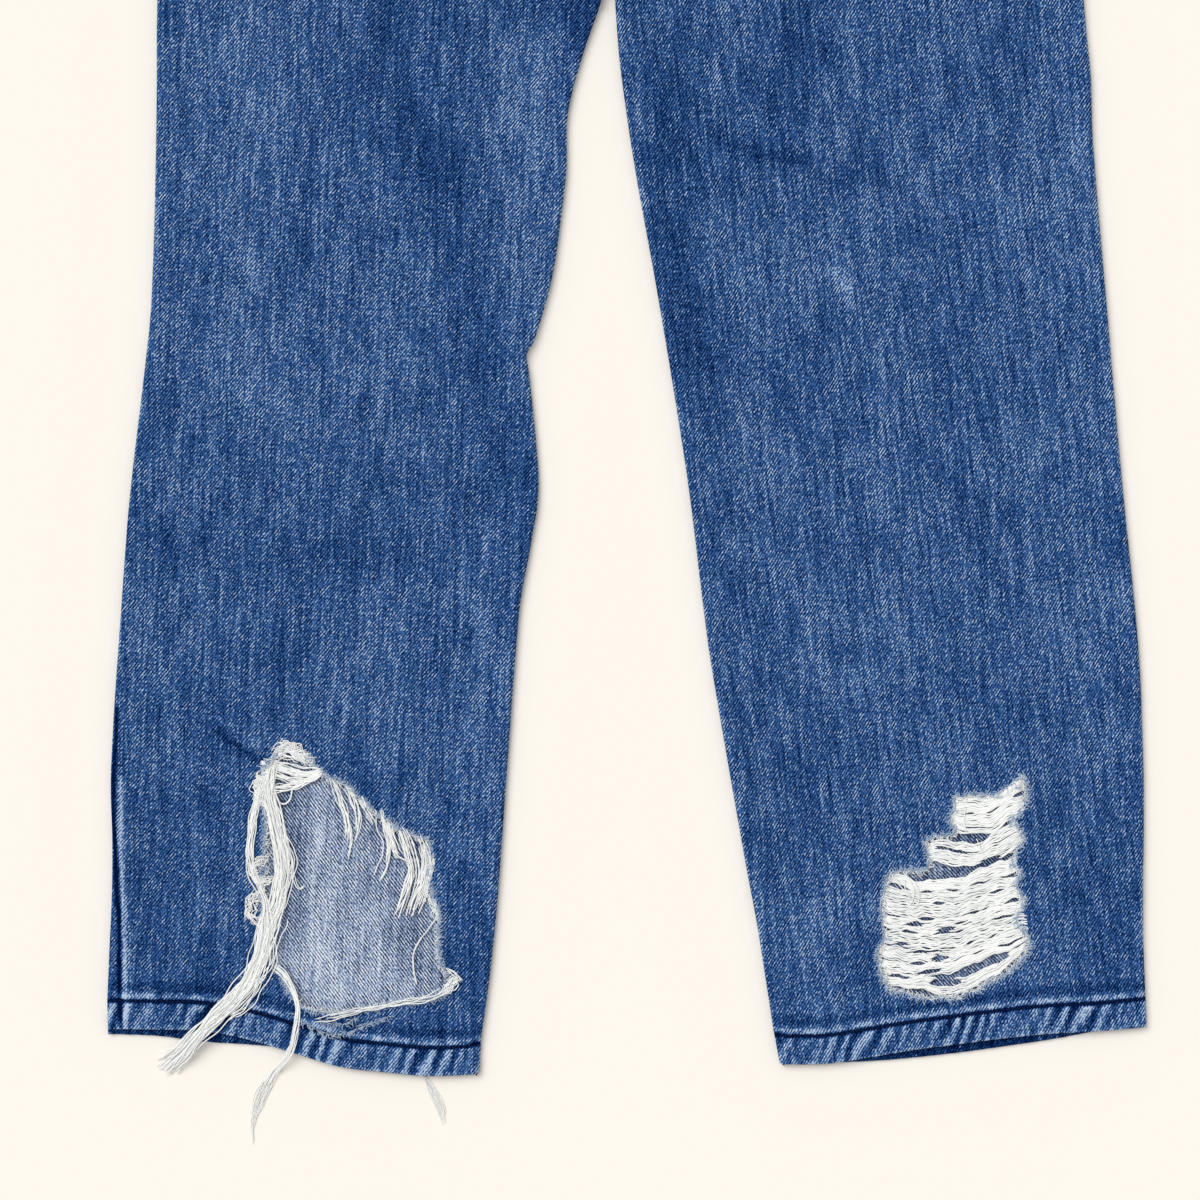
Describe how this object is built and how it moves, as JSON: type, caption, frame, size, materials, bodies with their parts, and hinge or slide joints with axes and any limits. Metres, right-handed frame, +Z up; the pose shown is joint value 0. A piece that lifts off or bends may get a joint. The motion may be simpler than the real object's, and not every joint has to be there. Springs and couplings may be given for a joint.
{
  "type": "ripped jeans",
  "caption": "Straight-leg denim jeans laid flat face up, with an open frayed tear above one hem and a thread-barred worn patch above the other.",
  "frame": {"origin": "under the middle of the whole garment, on the surface that it lies on", "axes": "+Y from the hems towards the waist, +Z up out of the front of the jeans, +X towards the wearer's left leg"},
  "size_m": [0.6228, 0.985, 0.0135],
  "materials": {
    "denim": "mid-blue washed cotton twill with slubs, darker indigo in the seams and paler along the hem edges",
    "threads": "undyed off-white cotton weft threads, frayed and fluffy",
    "zip_metal": "brushed antique metal teeth on cotton tape",
    "button_metal": "plain dull antique silver shank button"
  },
  "bodies": {
    "root": {"front_right": "denim", "front_left": "denim", "back_right": "denim", "back_left": "denim", "yoke_right": "denim", "yoke_left": "denim", "pocket_facing_right": "denim", "pocket_facing_left": "denim", "back_pocket_right": "denim", "back_pocket_left": "denim", "waistband": "denim", "belt_loop_front_right": "denim", "belt_loop_front_left": "denim", "belt_loop_back_right": "denim", "belt_loop_back_left": "denim", "belt_loop_back_centre": "denim", "zip": "zip_metal", "button": "button_metal", "threads_tear_fringe": "threads", "threads_worn_patch": "threads", "threads_bundle": "threads", "threads_branch": "threads", "threads_lower_edge": "threads", "threads_hem_wisp": "threads"}
  },
  "joints": []
}
